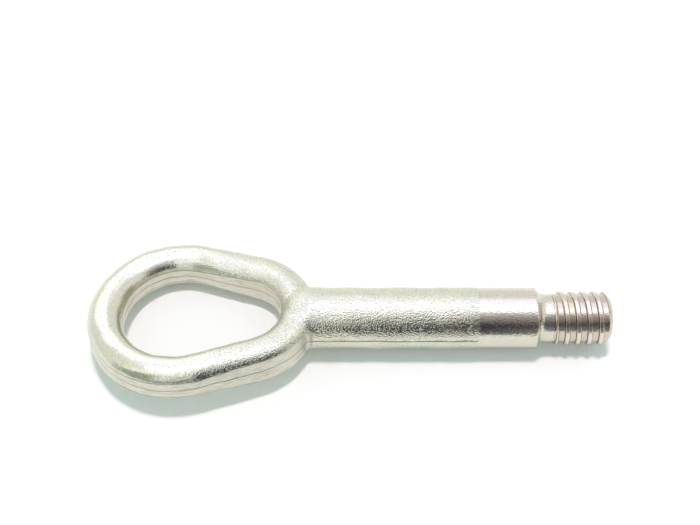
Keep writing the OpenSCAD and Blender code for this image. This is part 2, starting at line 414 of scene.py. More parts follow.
# The groove's angle is measured from Y towards Z; this grid's angle runs from Z towards Y
groove_place = thread_x + PITCH * (math.pi / 2 - around - THREAD_PHASE) / (2 * math.pi)
x = np.clip(groove_place[None, :] + lines[:, None], thread_x, end_x)
r = thread_radius(x - groove_place[None, :])
r = np.minimum(r, np.maximum(THREAD_R - START_BEVEL + (x - thread_x - RUN_IN), NECK_R))
r = np.minimum(r, THREAD_R - (x - (end_x - END_BEVEL)))
thread = np.stack([x, r * np.sin(around), r * np.cos(around)], -1)
neck_end = revolved(np.array([thread_x]), np.array([NECK_R]))
cap_r = THREAD_R - END_BEVEL
cap_radii = np.concatenate([[cap_r], line_between(cap_r - CAP_EDGE, 0, CAP_RINGS), [0]])
add_sheet(np.concatenate([neck_end, thread]), THREADED)
add_sheet(revolved(np.full(len(cap_radii), end_x), cap_radii), TURNED)
print("thread grid:", thread.shape[0], "lines of", thread.shape[1], "points")

# %% [markdown]
# ## One closed skin
# The sheets go into one mesh. Doubled points are merged, which closes the seams,
# the pole on the end face and the pinned ends of the thread. Mirrored sheets can
# face inwards, so the normals are worked out afresh once the skin is closed.

# %% Join the sheets


def sheet_faces(rows, columns, first):
    """Corner numbers of all four-sided faces of a grid, as one array."""
    start = (np.arange(rows - 1)[:, None] * columns + np.arange(columns - 1)).ravel() + first
    return np.stack([start, start + 1, start + columns + 1, start + columns], -1)


points, faces, finishes = [], [], []
total = 0
for grid, finish in sheets:
    rows, columns = grid.shape[:2]
    found = sheet_faces(rows, columns, total)
    points.append(grid.reshape(-1, 3))
    faces.append(found)
    finishes.append(np.full(len(found), finish))
    total += rows * columns

skin = bpy.data.meshes.new("tow_eye_forging")
skin.from_pydata(np.concatenate(points) * MM, [], np.concatenate(faces).tolist())
skin.polygons.foreach_set("material_index", np.concatenate(finishes).astype(np.int32))
SAME_PLACE = 0.002 * MM
edit = bmesh.new()
edit.from_mesh(skin)
bmesh.ops.remove_doubles(edit, verts=edit.verts, dist=SAME_PLACE)
bmesh.ops.dissolve_degenerate(edit, edges=edit.edges, dist=SAME_PLACE)
bmesh.ops.recalc_face_normals(edit, faces=edit.faces)
open_edges = sum(not e.is_manifold for e in edit.edges)
edit.to_mesh(skin)
edit.free()
skin.polygons.foreach_set("use_smooth", np.ones(len(skin.polygons), bool))
triangles = sum(len(p.vertices) - 2 for p in skin.polygons)
print(len(skin.vertices), "points,", triangles, "triangles,", open_edges, "open edges")

# %% [markdown]
# ## Which point belongs to what
# Marks and finishes differ from region to region, so every point gets a few
# shares between 0 and 1: how much it is forged, trimmed, on the shank or in the
# thread's groove. They come from its place and from the way it faces, as arrays
# over all points. On a trimmed wall the skin faces almost level.

# %% Shares of every point
at = np.empty(len(skin.vertices) * 3)
skin.vertices.foreach_get("co", at)
at = at.reshape(-1, 3) / MM
facing = np.empty(len(at) * 3)
skin.vertex_normals.foreach_get("vector", facing)
facing = facing.reshape(-1, 3)

# A wall counts as trimmed while the upright part of its facing is below the level, then fades
TRIM_LEVEL, TRIM_FADE = 0.08, 0.16
# The groove's film named below is the painted shade in the thread's grooves
GROOVE_FADE = 0.55       # height over the groove's floor at which its film ends
# Past the hollow corner the trimmed faces end, and the shank's ridge begins, over these lengths
TRIM_END, RIDGE_START = 1.5, 2.0
# The groove's film here is the painted shade in the thread's grooves
THREAD_MARGIN, END_MARGIN = 0.3, 0.01    # free of the groove's film at both ends of the thread

level = np.abs(facing[:, 2])
off_axis = np.hypot(at[:, 1], at[:, 2])
forged = 1 - ease(at[:, 0] - (lead_x - 1))
on_head = 1 - ease((at[:, 0] - hollow_x) / TRIM_END)
trimmed = on_head * (1 - ease((level - TRIM_LEVEL) / TRIM_FADE))
on_shank = ease((at[:, 0] - hollow_x) / RIDGE_START) * forged
in_thread = (at[:, 0] > thread_x + THREAD_MARGIN) * (at[:, 0] < end_x - END_MARGIN)
grooved = (1 - ease((off_axis - THREAD_ROOT_R) / GROOVE_FADE)) * in_thread
print("shares: trimmed", trimmed.mean().round(3), "and in the groove", grooved.mean().round(3))

# %% [markdown]
# ## The marks of the dies
# No forging is as even as its drawing. The dies wear and scale is pressed in, so
# the surface swells and sinks by a few hundredths of a millimetre; the lower die
# sat slightly to one side; and a thin ridge is left where the two met. All of
# this moves the points of the finished skin, by arrays of plain waves that run
# in random directions, from a seeded generator. A few small dents come from use.

# %% Uneven surface, parting ridge and dents
SWELL = 0.06
DIE_SHIFT, SHIFT_STEP = 0.1, 0.15
RIDGE_HEIGHT, RIDGE_HALF_WIDTH = 0.12, 0.28
# Dents: place on the part, radius and depth
DENTS = [((-9.5, 25.3, 4.5), 1.3, 0.3), ((-4.8, 23.8, 4.5), 1.0, 0.25), ((-57.0, -24.0, 0.5), 0.9, 0.2)]
chance = np.random.default_rng(7)


def waves(shortest, longest, count=40):
    """Sum of plain sine waves in random directions, with lengths between two limits, about 1 high."""
    way = chance.normal(size=(count, 3))
    way /= np.linalg.norm(way, axis=1)[:, None]
    length = chance.uniform(shortest, longest, count)
    phase = chance.uniform(0, 2 * math.pi, count)
    return np.sin(at @ (way * 2 * math.pi / length[:, None]).T + phase).sum(1) / math.sqrt(count / 2)


ridge = RIDGE_HEIGHT * np.exp(-((at[:, 2] / RIDGE_HALF_WIDTH) ** 2)) * (1 + 0.5 * waves(3, 9))
moved = SWELL * waves(6, 16) * forged + np.maximum(ridge, 0) * on_shank * (1 - level)
for dent, radius, depth in DENTS:
    off = np.linalg.norm(at - np.array(dent), axis=1) / radius
    moved -= depth * np.exp(-(off**2))
at += facing * moved[:, None]
at[:, 1] -= DIE_SHIFT * ease(-at[:, 2] / SHIFT_STEP) * forged * (1 - trimmed)
print("points moved by", moved.min().round(3), "to", moved.max().round(3), "mm")

# %% [markdown]
# ## Lying at rest
# The part lies on its shank and on one side of its eye, which is thinner than
# the shank, so the whole is rolled by a few degrees. An oval of half sizes w and
# h, rolled by an angle, reaches down by the root of (h cos)^2 + (w sin)^2, and
# setting that and the shank on the same ground gives a quadratic for the sine.
# The points are turned and moved, and the object itself stays at the origin.

# %% Lay the part down
w, h = SIDE_BAR[1:]
quad_a, quad_b, quad_c = widest**2 + h**2 - w**2, SHANK_R * widest, SHANK_R**2 - h**2
lean = math.asin((quad_b - math.sqrt(quad_b**2 - quad_a * quad_c)) / quad_a)
roll = np.array([
    [1, 0, 0],
    [0, math.cos(lean), math.sin(lean)],
    [0, -math.sin(lean), math.cos(lean)],
])
shift = np.array([cad_high[0] - end_x, 0, SHANK_R])
placed = at @ roll.T + shift
placed = np.clip(placed, cad_low, cad_high)
skin.vertices.foreach_set("co", (placed * MM).ravel())
for name, share in (("trimmed", trimmed), ("grooved", grooved)):
    skin.attributes.new(name, "FLOAT", "POINT").data.foreach_set("value", share.astype(np.float32))
skin.update()
forging = bpy.data.objects.new("tow_eye_forging", skin)
bpy.context.collection.objects.link(forging)
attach(forging, "root")
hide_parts("tow_eye")
print("rolled by", round(math.degrees(lean), 2), "degrees")
print("low and high corner", placed.min(0).round(2), placed.max(0).round(2))

# %% [markdown]
# ## Building shaders in small groups
# The colour of every finish is that of bright zinc, a light grey with a faint
# warm cast. Metal shows mostly what surrounds it, so the grain of its surface
# matters more than its colour. The grain, the tints and the tool marks are made
# once, as node groups with named inputs, and each material mixes them.

# %% Shader helpers


def group(name, inputs, outputs):
    """A node group with the given inputs and outputs, as name: default value, where None is a vector.

    Returns its tree, and the sockets that its nodes read from and write to."""
    tree = bpy.data.node_groups.new(name, "ShaderNodeTree")
    kinds = {float: "NodeSocketFloat", tuple: "NodeSocketColor", type(None): "NodeSocketVector"}
    for way, sockets in (("INPUT", inputs), ("OUTPUT", outputs)):
        for label, value in sockets.items():
            made = tree.interface.new_socket(name=label, in_out=way, socket_type=kinds[type(value)])
            if value is not None and way == "INPUT":
                made.default_value = value
    entry, out = tree.nodes.new("NodeGroupInput"), tree.nodes.new("NodeGroupOutput")
    entry.location, out.location = (-1100, 0), (900, 0)
    return tree, entry.outputs, out.inputs


def put(tree, value, target):
    """Links an output to an input, or writes a constant into it."""
    if isinstance(value, bpy.types.NodeSocket):
        tree.links.new(value, target)
    else:
        target.default_value = value


def node(tree, kind, place, settings=None, **inputs):
    """Adds a node with its settings, and fills its inputs by name with links or constants."""
    made = tree.nodes.new(kind)
    made.location = place
    for name, value in (settings or {}).items():
        setattr(made, name, value)
    for name, value in inputs.items():
        put(tree, value, made.inputs[name.replace("_", " ")])
    return made


def maths(tree, operation, place, *values, clamp=False):
    """One step of arithmetic. Returns its output."""
    made = node(tree, "ShaderNodeMath", place, {"operation": operation, "use_clamp": clamp})
    for slot, value in zip(made.inputs, values):
        put(tree, value, slot)
    return made.outputs[0]


def mixed(tree, place, factor, low, high):
    """A mix of two colours. Returns its output."""
    made = node(tree, "ShaderNodeMix", place, {"data_type": "RGBA"})
    for slot, value in zip((made.inputs[0], made.inputs[6], made.inputs[7]), (factor, low, high)):
        put(tree, value, slot)
    return made.outputs[2]


def tinted(tree, place, under, mask, share, tint):
    """A colour drawn towards a tint, by a mask times a share. Returns its output."""
    part = maths(tree, "MULTIPLY", (place[0] - 180, place[1] - 150), mask, share)
    return mixed(tree, place, part, under, tint)


def noise(tree, place, vector, scale, detail, roughness=0.5):
    """A noise between 0 and 1, mostly near 0.5. Returns its output."""
    inputs = {"Vector": vector, "Scale": scale, "Detail": detail, "Roughness": roughness}
    return node(tree, "ShaderNodeTexNoise", place, **inputs).outputs[0]


def ranged(tree, place, value, start, end, low=0.0, high=1.0):
    """Goes evenly from low to high while the value goes from start to end. Returns its output."""
    made = node(tree, "ShaderNodeMapRange", place, Value=value)
    for slot, limit in zip(made.inputs[1:5], (start, end, low, high)):
        slot.default_value = limit
    return made.outputs[0]


def close_group(tree, sockets, **outputs):
    """Links what a group puts out, and returns its tree."""
    for name, value in outputs.items():
        put(tree, value, sockets[name])
    print(tree.name, "has", len(tree.nodes), "nodes")
    return tree


print("helpers ready")

# %% [markdown]
# ## Forged grain
# Before plating, a forging is blasted or pickled clean of its scale, which
# leaves a skin like orange peel: grains of about half a millimetre, on hollows
# twice as wide. Two noises at those sizes give the height. The deepest spots
# come out as a mask, because they hold more of the dull film.

# %% Group: forged grain
HOLLOW_WIDTH = 2.0       # in grains; a hollow is deeper by the same factor

tree, given, out = group(
    "Forged grain",
    {"Vector": None, "Grain size mm": 0.5, "Coarse share": 0.5},
    {"Height": 0.0, "Pits": 0.0},
)
per_grain = maths(tree, "DIVIDE", (-900, -150), 1000.0, given["Grain size mm"])
per_hollow = maths(tree, "DIVIDE", (-700, -300), per_grain, HOLLOW_WIDTH)
fine = noise(tree, (-450, 150), given["Vector"], per_grain, 0.4)
coarse = noise(tree, (-450, -150), given["Vector"], per_hollow, 1.0)
wide = maths(tree, "MULTIPLY", (-200, -150), coarse, given["Coarse share"])
grain_height = maths(tree, "MULTIPLY_ADD", (50, 50), wide, HOLLOW_WIDTH, fine)
pits = ranged(tree, (200, 250), fine, 0.42, 0.3)
forged_grain = close_group(tree, out, Height=grain_height, Pits=pits)

# %% [markdown]
# ## Tints of the passive film
# Zinc is dipped in a passivating bath, whose clear film is thin enough to tint
# the metal like oil on water: slowly changing patches of pink, green and straw.
# A slow noise picks between two tints of one strength.

# %% Group: passive tint
ZINC = (0.7, 0.7, 0.6, 1)
TINT_CONTRAST = 7.0      # how fast the metal takes on a tint away from the noise's middle

tree, given, out = group(
    "Passive tint",
    {"Vector": None, "Patch size mm": 6.0, "Metal": ZINC, "First tint": ZINC, "Second tint": ZINC,
     "Strength": 1.0},
    {"Color": (0, 0, 0, 1)},
)
per_patch = maths(tree, "DIVIDE", (-900, -200), 1000.0, given["Patch size mm"])
patches = noise(tree, (-700, -100), given["Vector"], per_patch, 3.0, 0.6)
from_middle = maths(tree, "SUBTRACT", (-500, -100), patches, 0.5)
stretched = maths(tree, "MULTIPLY", (-350, -100), from_middle, TINT_CONTRAST)
first_share = maths(tree, "MULTIPLY", (-150, 100), stretched, given["Strength"], clamp=True)
second = maths(tree, "MULTIPLY", (-300, -250), stretched, -1.0)
second_share = maths(tree, "MULTIPLY", (-150, -250), second, given["Strength"], clamp=True)
one = mixed(tree, (100, 100), first_share, given["Metal"], given["First tint"])
two = mixed(tree, (350, 0), second_share, one, given["Second tint"])
passive_tint = close_group(tree, out, Color=two)

# %% [markdown]
# ## Lines of a tool
# A shear drags its edge along the trimmed face, and a lathe tool leaves rings.
# Both are one noise that changes fast across the lines and slowly along them,
# so the place is stretched before the noise is read.

# %% Group: tool lines
tree, given, out = group(
    "Tool lines",
    {"Vector": None, "Stretch": None, "Spacing mm": 0.5},
    {"Height": 0.0, "Dark": 0.0},
)
stretch = node(tree, "ShaderNodeVectorMath", (-850, 100), {"operation": "MULTIPLY"})
put(tree, given["Vector"], stretch.inputs[0])
put(tree, given["Stretch"], stretch.inputs[1])
per_line = maths(tree, "DIVIDE", (-850, -150), 1000.0, given["Spacing mm"])
drawn = noise(tree, (-600, 0), stretch.outputs[0], per_line, 2.0, 0.6)
dark = ranged(tree, (-300, -150), drawn, 0.47, 0.36)
tool_lines = close_group(tree, out, Height=drawn, Dark=dark)

# %% [markdown]
# ## The parting line
# Where the two dies met, a fine line runs round the whole forging: metal crept
# into the gap, and the shears left a hair of it. Seen from the plane of the
# dies, its profile is a bell curve of the height above that plane. The same bell
# raises the line in relief and lays painted shade along it in the colour.

# %% Group: parting line
WANDER, PER_WANDER = 0.9, 160.0    # how far the line strays, in mm, and how often along a metre

tree, given, out = group("Parting line", {"Vector": None, "Width mm": 0.2}, {"Bell": 0.0})
split = node(tree, "ShaderNodeSeparateXYZ", (-900, 0), Vector=given["Vector"])
in_mm = maths(tree, "MULTIPLY", (-700, 0), split.outputs["Z"], 1000.0)
wander = noise(tree, (-900, -250), given["Vector"], PER_WANDER, 2.0)
wandered = maths(tree, "MULTIPLY_ADD", (-700, -250), wander, WANDER, -WANDER / 2)
level_mm = maths(tree, "ADD", (-500, 0), in_mm, wandered)
relative = maths(tree, "DIVIDE", (-200, 0), level_mm, given["Width mm"])
squared = maths(tree, "MULTIPLY", (0, 0), relative, relative)
negative = maths(tree, "MULTIPLY", (200, 0), squared, -1.0)
bell = maths(tree, "EXPONENT", (400, 0), negative)
parting_line = close_group(tree, out, Bell=bell)

# %% [markdown]
# ## Zinc on every surface
# All three finishes are the same plated metal, so their materials start alike:
# full Metallic, a roughness, and Object coordinates, which stay on the piece in
# every view. A relief only has to reach the Bump node, whose distance is the
# true height of the relief in metres.

# %% Start of a zinc material
FORGED_ROUGHNESS, LATHE_ROUGHNESS = 0.2, 0.16
METAL = (0.72, 0.71, 0.585, 1)
GREENISH = (0.66, 0.705, 0.605, 1)
STRAW = (0.765, 0.73, 0.555, 1)
PINK = (0.76, 0.64, 0.60, 1)


def zinc_material(name, roughness):
    """A new metal material on the skin. Returns its node tree, shader node and Object coordinates."""
    made = bpy.data.materials.new(name)
    made.use_nodes = True
    tree = made.node_tree
    shader = tree.nodes["Principled BSDF"]
    shader.inputs["Metallic"].default_value = 1.0
    shader.inputs["Roughness"].default_value = roughness
    place = node(tree, "ShaderNodeTexCoord", (-1700, 0))
    skin.materials.append(made)
    return tree, shader, place.outputs["Object"]


def use(tree, made, place, **inputs):
    """Adds a node of a group and fills its inputs. Returns its outputs."""
    holder = node(tree, "ShaderNodeGroup", place, {"node_tree": made})
    for name, value in inputs.items():
        put(tree, value, holder.inputs[name.replace("_", " ")])
    return holder.outputs


def embossed(tree, shader, relief, distance):
    """Bumps the shader's normal by a relief of the given height in metres."""
    bump = node(tree, "ShaderNodeBump", (-100, -300), Height=relief, Distance=distance)
    put(tree, bump.outputs["Normal"], shader.inputs["Normal"])


print("zinc is", METAL[:3], "with tints of green, straw and pink")

# %% [markdown]
# ## Relief of the forged finish
# Two surfaces share this material, because one coat of zinc covers both: the
# grainy skin that the dies made, and the trimmed faces, which the shears left
# streaked along the edge. The attribute "trimmed" tells them apart. The eye is
# pressed thinner and rubs on hooks, so its grain is weaker than the shank's.
# The tool lines need the part's own upright direction, so a Mapping node
# undoes the roll.

# %% Forged zinc: relief
# The grain's depth in metres, and the depths of the streaks and the seam in shares of it
GRAIN_DEPTH, STREAK_DEPTH, SEAM_DEPTH = 0.0002, 1.2, 0.7
WORN_EYE = (-0.06, -0.036, 0.28, 1.0)    # between these two places the grain goes from one share to another
SHEARED_LOSS = 0.2       # the share of the grain that the shears took off

tree, shader, place = zinc_material("forged_zinc", FORGED_ROUGHNESS)
upright = node(tree, "ShaderNodeMapping", (-1500, -300), {"vector_type": "TEXTURE"}, Vector=place)
upright.inputs["Location"].default_value = (0, 0, SHANK_R * MM)
upright.inputs["Rotation"].default_value = (-lean, 0, 0)
own = upright.outputs[0]
cut = node(tree, "ShaderNodeAttribute", (-1500, -700), {"attribute_name": "trimmed"}).outputs["Fac"]

grain = use(tree, forged_grain, (-1200, 100), Vector=place, Grain_size_mm=0.46, Coarse_share=0.1)
streaks = use(tree, tool_lines, (-1200, -200), Vector=own, Stretch=(0.08, 0.08, 1), Spacing_mm=0.36)
seam_and_shade = use(tree, parting_line, (-1200, -450), Vector=own, Width_mm=0.16)["Bell"]

along = node(tree, "ShaderNodeSeparateXYZ", (-1500, 300), Vector=place).outputs["X"]
worn = ranged(tree, (-1200, 700), along, *WORN_EYE)
grainy = maths(tree, "MULTIPLY_ADD", (-900, -600), cut, -SHEARED_LOSS, worn)
grain_part = maths(tree, "MULTIPLY", (-700, 0), grain["Height"], grainy)
streak_part = maths(tree, "MULTIPLY", (-900, -200), streaks["Height"], cut)
streaked = maths(tree, "MULTIPLY_ADD", (-500, -100), streak_part, STREAK_DEPTH, grain_part)
relief = maths(tree, "MULTIPLY_ADD", (-300, -200), seam_and_shade, -SEAM_DEPTH, streaked)
embossed(tree, shader, relief, GRAIN_DEPTH)
print("the grain is", round(GRAIN_DEPTH / MM, 2), "mm deep")

# %% [markdown]
# ## Colour of the forged finish
# The colour is built up in layers: the metal with its film, a dull rest of film
# in the pits, the paler trimmed faces with the shears' dark streaks, painted
# shade along the parting line, and last a thin dark line along the edge where
# the top meets the trimmed wall, which lies where the attribute "trimmed"
# changes, so its product with what is left of 1 finds it.

# %% Forged zinc: colour
IN_PITS, SHEARED, STREAK = (0.42, 0.41, 0.36, 1), (0.77, 0.74, 0.64, 1), (0.42, 0.39, 0.30, 1)
# Colours of the painted shade along the parting line and of a thin dark line along the trimmed edge
SEAM_SHADE, DARK_EDGE_LINE = (0.22, 0.19, 0.15, 1), (0.26, 0.27, 0.22, 1)
SHEAR_ROUGHNESS = 0.12   # what the shears add to the roughness

film = use(tree, passive_tint, (-1200, 400), Vector=place, Patch_size_mm=14.0, Metal=METAL,
           First_tint=GREENISH, Second_tint=STRAW, Strength=0.5)["Color"]
colour = tinted(tree, (-700, 400), film, grain["Pits"], 0.5, IN_PITS)
colour = tinted(tree, (-500, 350), colour, cut, 0.85, SHEARED)
in_streak = maths(tree, "MULTIPLY", (-700, -350), streaks["Dark"], cut)
colour = tinted(tree, (-300, 300), colour, in_streak, 0.55, STREAK)
# Painted shade along the parting line, beside its real ridge in the relief
colour = tinted(tree, (-150, 200), colour, seam_and_shade, 0.75, SEAM_SHADE)
uncut = maths(tree, "SUBTRACT", (-900, -800), 1.0, cut)
at_edge = maths(tree, "MULTIPLY", (-720, -800), uncut, cut)
# A thin dark line laid along the edge where the top meets the trimmed wall
colour = tinted(tree, (0, 100), colour, at_edge, 2.2, DARK_EDGE_LINE)
put(tree, colour, shader.inputs["Base Color"])
dullness = maths(tree, "MULTIPLY_ADD", (-300, -650), cut, SHEAR_ROUGHNESS, FORGED_ROUGHNESS)
put(tree, dullness, shader.inputs["Roughness"])
print("forged zinc has", len(tree.nodes), "nodes")

# %% [markdown]
# ## The turned finish
# The lathe left fine rings under the plating, and the film on this smooth zinc
# shows its tints more plainly, here pink and straw. The grain is only a trace.
# The thread comes off the same lathe, so one function starts both finishes.

# %% Material: turned zinc
TURNED_METAL, TURNED_PITS = (0.70, 0.67, 0.575, 1), (0.45, 0.41, 0.36, 1)


def lathe_zinc(name, along_ring, spacing, ring_share, depth, **tints):
    """Smooth zinc with a lathe's rings. Returns its node tree, shader node, grain and film colour."""
    tree, shader, place = zinc_material(name, LATHE_ROUGHNESS)
    stretch = (1, along_ring, along_ring)
    rings = use(tree, tool_lines, (-1200, -200), Vector=place, Stretch=stretch, Spacing_mm=spacing)
    grain = use(tree, forged_grain, (-1200, 100), Vector=place, Grain_size_mm=0.5, Coarse_share=0.3)
    relief = maths(tree, "MULTIPLY_ADD", (-700, -100), rings["Height"], ring_share, grain["Height"])
    embossed(tree, shader, relief, depth)
    film = use(tree, passive_tint, (-1200, 400), Vector=place, First_tint=PINK, **tints)
    return tree, shader, grain, film["Color"]


tree, shader, grain, film = lathe_zinc(
    "turned_zinc", 0.05, 0.35, 0.5, 0.00006,
    Patch_size_mm=9.0, Metal=TURNED_METAL, Second_tint=STRAW, Strength=0.5,
)
colour = tinted(tree, (-500, 300), film, grain["Pits"], 0.35, TURNED_PITS)
put(tree, colour, shader.inputs["Base Color"])
print("turned zinc has", len(tree.nodes), "nodes")

# %% [markdown]
# ## The thread's finish
# A cut thread is as smooth as the band. Its grooves are painted darker, as
# painted shade in the recess, and a brown line of painted shade lies along each
# flank. The attribute "grooved" is 1 in a groove and 0 on a crest, so its
# product with what is left of 1 is a bell over each flank.

# %% Material: thread zinc
THREAD_METAL, THREAD_STRAW = (0.74, 0.70, 0.62, 1), (0.80, 0.70, 0.46, 1)
# Colours of the painted shade in the grooves and on the flanks
GROOVE_SHADE, FLANK_SHADE = (0.58, 0.51, 0.42, 1), (0.30, 0.23, 0.15, 1)

tree, shader, _, film = lathe_zinc(
    "thread_zinc", 0.2, 0.5, 0.8, 0.00004,
    Patch_size_mm=5.0, Metal=THREAD_METAL, Second_tint=THREAD_STRAW,
)
deep = node(tree, "ShaderNodeAttribute", (-1100, 0), {"attribute_name": "grooved"}).outputs["Fac"]
shallow = maths(tree, "SUBTRACT", (-900, 0), 1.0, deep)
on_flank = maths(tree, "MULTIPLY", (-700, 0), deep, shallow)
# Painted shade in the grooves, and a painted line of shade along each flank
colour = tinted(tree, (-500, 300), film, deep, 0.7, GROOVE_SHADE)
colour = tinted(tree, (-250, 300), colour, on_flank, 3.4, FLANK_SHADE)
put(tree, colour, shader.inputs["Base Color"])
print("thread zinc has", len(tree.nodes), "nodes")

# %% [markdown]
# ## The table
# The part lies on plain white paper. The paper scatters light evenly, and adds
# a trace of its own white where it is seen, so that the lit paper is as white as
# its surroundings while the shadow stays.

# %% Table
PAPER_WHITE, PAPER_LIFT = 0.95, 0.08
HALF_TABLE = 3.0


def oblong(left, right, low, high):
    """The four corners of an oblong, in turn."""
    return [(left, low), (right, low), (right, high), (left, high)]


def new_sheet(name, corners):
    """A flat piece of the set, given by its corners in metres."""
    mesh = bpy.data.meshes.new(name)
    mesh.from_pydata(corners, [], [tuple(range(len(corners)))])
    made = bpy.data.objects.new(name, mesh)
    bpy.context.collection.objects.link(made)
    return made


def seen_rays(tree):
    """1 for a ray from the camera, off metal or through glass, else 0. Returns it and what it read."""
    rays = node(tree, "ShaderNodeLightPath", (-1000, -200)).outputs
    direct = maths(tree, "ADD", (-800, -200), rays["Is Camera Ray"], rays["Is Glossy Ray"])
    return maths(tree, "ADD", (-650, -200), direct, rays["Is Transmission Ray"], clamp=True), rays


corners = oblong(-HALF_TABLE, HALF_TABLE, -HALF_TABLE, HALF_TABLE)
table = new_sheet("table", [(*corner, 0) for corner in corners])
paper = bpy.data.materials.new("white_paper")
paper.use_nodes = True
tree = paper.node_tree
shader = tree.nodes["Principled BSDF"]
shader.inputs["Base Color"].default_value = (PAPER_WHITE, PAPER_WHITE, PAPER_WHITE, 1)
shader.inputs["Roughness"].default_value = 1.0
shader.inputs["Specular IOR Level"].default_value = 0.0
shader.inputs["Emission Color"].default_value = (1, 1, 1, 1)
seen, _ = seen_rays(tree)
lift = maths(tree, "MULTIPLY", (-200, -200), seen, PAPER_LIFT)
put(tree, lift, shader.inputs["Emission Strength"])
table.data.materials.append(paper)
print("table of", 2 * HALF_TABLE, "m")

# %% [markdown]
# ## The surroundings
# The room is white where it is seen, directly or in the metal, and gives a
# gentle, faintly green light to everything else, which is what fills the
# shadow. What the table gets by way of the metal is of that gentle kind too.

# %% World
SEEN_WHITE, FILL = 0.95, 0.62
FILL_COLOUR = (0.85, 1.05, 0.99, 1)

world = bpy.data.worlds.new("studio")
bpy.context.scene.world = world
world.use_nodes = True
tree = world.node_tree
background = tree.nodes["Background"]
seen, rays = seen_rays(tree)
seen = maths(tree, "SUBTRACT", (-500, -200), seen, rays["Diffuse Depth"], clamp=True)
room_colour = mixed(tree, (-300, 100), seen, FILL_COLOUR, (1, 1, 1, 1))
room_strength = maths(tree, "MULTIPLY_ADD", (-300, -150), seen, SEEN_WHITE - FILL, FILL)
put(tree, room_colour, background.inputs["Color"])
put(tree, room_strength, background.inputs["Strength"])
print("the room fills shadows with", FILL)

# %% [markdown]
# ## Light from above
# One lamp, small enough to draw a crisp shadow, hangs nearly overhead. A small
# lamp of P watts at a height h makes white paper as bright as P over the square
# of pi times h, which turns a wanted brightness into watts. In the metal it
# would leave a hard, thin highlight, so the metal doesn't see it.

# %% Lamp
LAMP_HEIGHT, LAMP_BRIGHTNESS = 1.2, 0.45
LAMP_HALF_ANGLE, LAMP_TILT = math.radians(4), math.radians(3)
LAMP_COLOUR = (1.175, 0.985, 1.04)

lamp = bpy.data.lights.new("overhead", "AREA")
lamp.shape = "DISK"
lamp.size = 2 * LAMP_HEIGHT * math.tan(LAMP_HALF_ANGLE)
lamp.energy = LAMP_BRIGHTNESS * (math.pi * LAMP_HEIGHT) ** 2
lamp.color = LAMP_COLOUR
lamp_object = bpy.data.objects.new("overhead", lamp)
lamp_object.location = (0, LAMP_HEIGHT * math.tan(LAMP_TILT), LAMP_HEIGHT)
lamp_object.rotation_euler = (-LAMP_TILT, 0, 0)
lamp_object.visible_glossy = False
bpy.context.collection.objects.link(lamp_object)
print("lamp of", round(lamp.energy, 2), "W")

# %% [markdown]
# ## White panels overhead
# In place of the lamp the metal sees a large white panel, slightly blue, with a
# brighter one below its middle: that is the broad white zone on every upper
# side. A sheet like this must light nothing by itself, or it would wash out the
# shadow, so only shiny surfaces see it, and not the table through them.

# %% Glowing sheets
PANEL_HEIGHT, PANEL_DROP = 1.5, 0.02
PANEL_LEFT, PANEL_RIGHT, PANEL_FRONT, PANEL_BACK = (
    PANEL_HEIGHT * math.tan(math.radians(angle)) for angle in (-24, 34, -16, 42)
)
MIDDLE_FRONT, MIDDLE_BACK = -0.16, 0.32
PANEL_BLUE = (0.96, 0.97, 1.2, 1)


def glowing(name, corners, colour, strength):
    """A sheet that glows and is seen only in shiny surfaces, but not by the table through them."""
    made = new_sheet(name, corners)
    paint = bpy.data.materials.new(name)
    paint.use_nodes = True
    tree = paint.node_tree
    tree.nodes.remove(tree.nodes["Principled BSDF"])
    bounced = node(tree, "ShaderNodeLightPath", (-700, -300)).outputs["Diffuse Depth"]
    direct = maths(tree, "SUBTRACT", (-450, -300), 1.0, bounced, clamp=True)
    glow = node(tree, "ShaderNodeEmission", (0, 0), Color=colour)
    put(tree, maths(tree, "MULTIPLY", (-250, -300), direct, strength), glow.inputs["Strength"])
    put(tree, glow.outputs[0], tree.nodes["Material Output"].inputs["Surface"])
    made.data.materials.append(paint)
    made.visible_camera = made.visible_diffuse = made.visible_shadow = False
    return tree, glow


def overhead(name, front, back, height, strength):
    """A level white sheet between two places along Y, as wide as the panel."""
    corners = oblong(PANEL_LEFT, PANEL_RIGHT, front, back)
    glowing(name, [(*corner, height) for corner in corners], PANEL_BLUE, strength)


overhead("white_panel", PANEL_FRONT, PANEL_BACK, PANEL_HEIGHT, 1.45)
overhead("panel_middle", MIDDLE_FRONT, MIDDLE_BACK, PANEL_HEIGHT - PANEL_DROP, 2.0)
print("panel", round(PANEL_RIGHT - PANEL_LEFT, 2), "by", round(PANEL_BACK - PANEL_FRONT, 2), "m")

# %% [markdown]
# ## Cards that shade with height
# White metal in white surroundings would vanish, so a photographer stands cards
# round it. A round bar shows each card as a band along it, and every line of
# that band meets the card at its own height. So the shade of these cards is a
# ramp over the angle above the table, seen from under the shank.

# %% A card that shades with height
CARD_Y, CARD_TOP = -0.15, 0.55


def ramped_card(name, outline, strength, shades):
    """An upright card, given by corners (across, up), with shades at shares of a right angle.

    The angle above the table is that whose tangent is height over the card's distance."""
    corners = [(across, CARD_Y, up) for across, up in outline]
    tree, glow = glowing(name, corners, (1, 1, 1, 1), strength)
    spot = node(tree, "ShaderNodeTexCoord", (-1000, 0))
    split = node(tree, "ShaderNodeSeparateXYZ", (-800, 0), Vector=spot.outputs["Object"])
    angle = maths(tree, "ARCTAN2", (-600, 0), split.outputs["Z"], -CARD_Y)
    share = maths(tree, "DIVIDE", (-450, 0), angle, math.pi / 2)
    ramp = node(tree, "ShaderNodeValToRGB", (-300, 0), Fac=share)
    stops = ramp.color_ramp.elements
    while len(stops) < len(shades):
        stops.new(0.5)
    for stop, (where, shade) in zip(stops, shades):
        stop.position = where
        stop.color = (*shade, 1)
    put(tree, ramp.outputs[0], glow.inputs["Color"])


